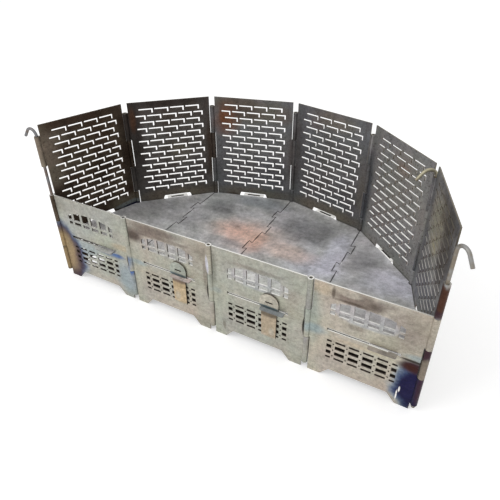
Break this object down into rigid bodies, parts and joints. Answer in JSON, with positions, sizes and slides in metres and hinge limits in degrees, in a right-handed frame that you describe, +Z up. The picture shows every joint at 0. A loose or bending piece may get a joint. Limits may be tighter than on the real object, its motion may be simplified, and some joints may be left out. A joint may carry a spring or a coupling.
{
  "type": "folding fire pit",
  "caption": "Folding sheet-steel fire pit: straight front wall with grilles and vents, taller slotted rear wall in an arc, keyed floor, hooked hinge pins.",
  "frame": {"origin": "middle of the footprint's box, on the ground", "axes": "+X along the straight front row to the right seen from the front, +Y from front to rear, +Z up"},
  "size_m": [0.8642, 0.4112, 0.367],
  "materials": {
    "front_steel": "mill-finish sheet, heat tinted",
    "rear_steel": "sooted sheet",
    "floor_steel": "burnt sheet with rust bloom",
    "pin_steel": "plain rod",
    "hook_steel": "plain bent rod",
    "key_steel": "straw heat tint"
  },
  "bodies": {
    "hearth": {"floor_plate_1": "floor_steel", "floor_plate_2": "floor_steel", "floor_plate_3": "floor_steel", "floor_plate_4": "floor_steel", "front_panel_1": "front_steel", "front_panel_2": "front_steel", "front_panel_3": "front_steel", "front_panel_4": "front_steel", "front_pin_1": "pin_steel", "front_pin_2": "pin_steel", "front_pin_3": "pin_steel"},
    "wall_1": {"rear_panel_1": "rear_steel", "rear_pin_1": "pin_steel"},
    "wall_2": {"rear_panel_2": "rear_steel", "rear_pin_2": "pin_steel"},
    "wall_3": {"rear_panel_3": "rear_steel"},
    "wall_4": {"rear_panel_4": "rear_steel", "rear_pin_3": "pin_steel"},
    "wall_5": {"rear_panel_5": "rear_steel", "rear_pin_4": "pin_steel"},
    "wall_6": {"rear_panel_6": "rear_steel"},
    "left_hook": {"hook_pin_left": "hook_steel"},
    "inner_hook": {"hook_pin_inner": "hook_steel"},
    "right_hook": {"hook_pin_right": "hook_steel"},
    "left_key": {"locking_key_1": "key_steel"},
    "right_key": {"locking_key_2": "key_steel"}
  },
  "joints": [
    {"name": "left_corner_hinge", "type": "hinge", "parent": "hearth", "child": "wall_1", "pos_m": [-0.39485, -0.17775, 0.1725], "axis": [0, 0, 1], "range_deg": [0, 107.7]},
    {"name": "left_outer_hinge", "type": "hinge", "parent": "wall_1", "child": "wall_2", "pos_m": [-0.33394, 0.01274, 0.1725], "axis": [0, 0, 1], "range_deg": [0, 28.9]},
    {"name": "left_inner_hinge", "type": "hinge", "parent": "wall_2", "child": "wall_3", "pos_m": [-0.18852, 0.15006, 0.1725], "axis": [0, 0, 1], "range_deg": [0, 28.9]},
    {"name": "right_corner_hinge", "type": "hinge", "parent": "hearth", "child": "wall_6", "pos_m": [0.40515, -0.17775, 0.1725], "axis": [0, 0, -1], "range_deg": [0, 107.7]},
    {"name": "right_outer_hinge", "type": "hinge", "parent": "wall_6", "child": "wall_5", "pos_m": [0.34423, 0.01274, 0.1725], "axis": [0, 0, -1], "range_deg": [0, 28.9]},
    {"name": "right_inner_hinge", "type": "hinge", "parent": "wall_5", "child": "wall_4", "pos_m": [0.19882, 0.15006, 0.1725], "axis": [0, 0, -1], "range_deg": [0, 28.9]},
    {"name": "left_hook_lift", "type": "slide", "parent": "wall_1", "child": "left_hook", "axis": [0, 0, 1], "range_m": [0, 0.335]},
    {"name": "inner_hook_lift", "type": "slide", "parent": "wall_6", "child": "inner_hook", "axis": [0, 0, 1], "range_m": [0, 0.335]},
    {"name": "right_hook_lift", "type": "slide", "parent": "wall_6", "child": "right_hook", "axis": [0, 0, 1], "range_m": [0, 0.28]},
    {"name": "left_key_lift", "type": "slide", "parent": "hearth", "child": "left_key", "axis": [0, 0, 1], "range_m": [0, 0.075]},
    {"name": "right_key_lift", "type": "slide", "parent": "hearth", "child": "right_key", "axis": [0, 0, 1], "range_m": [0, 0.075]}
  ]
}
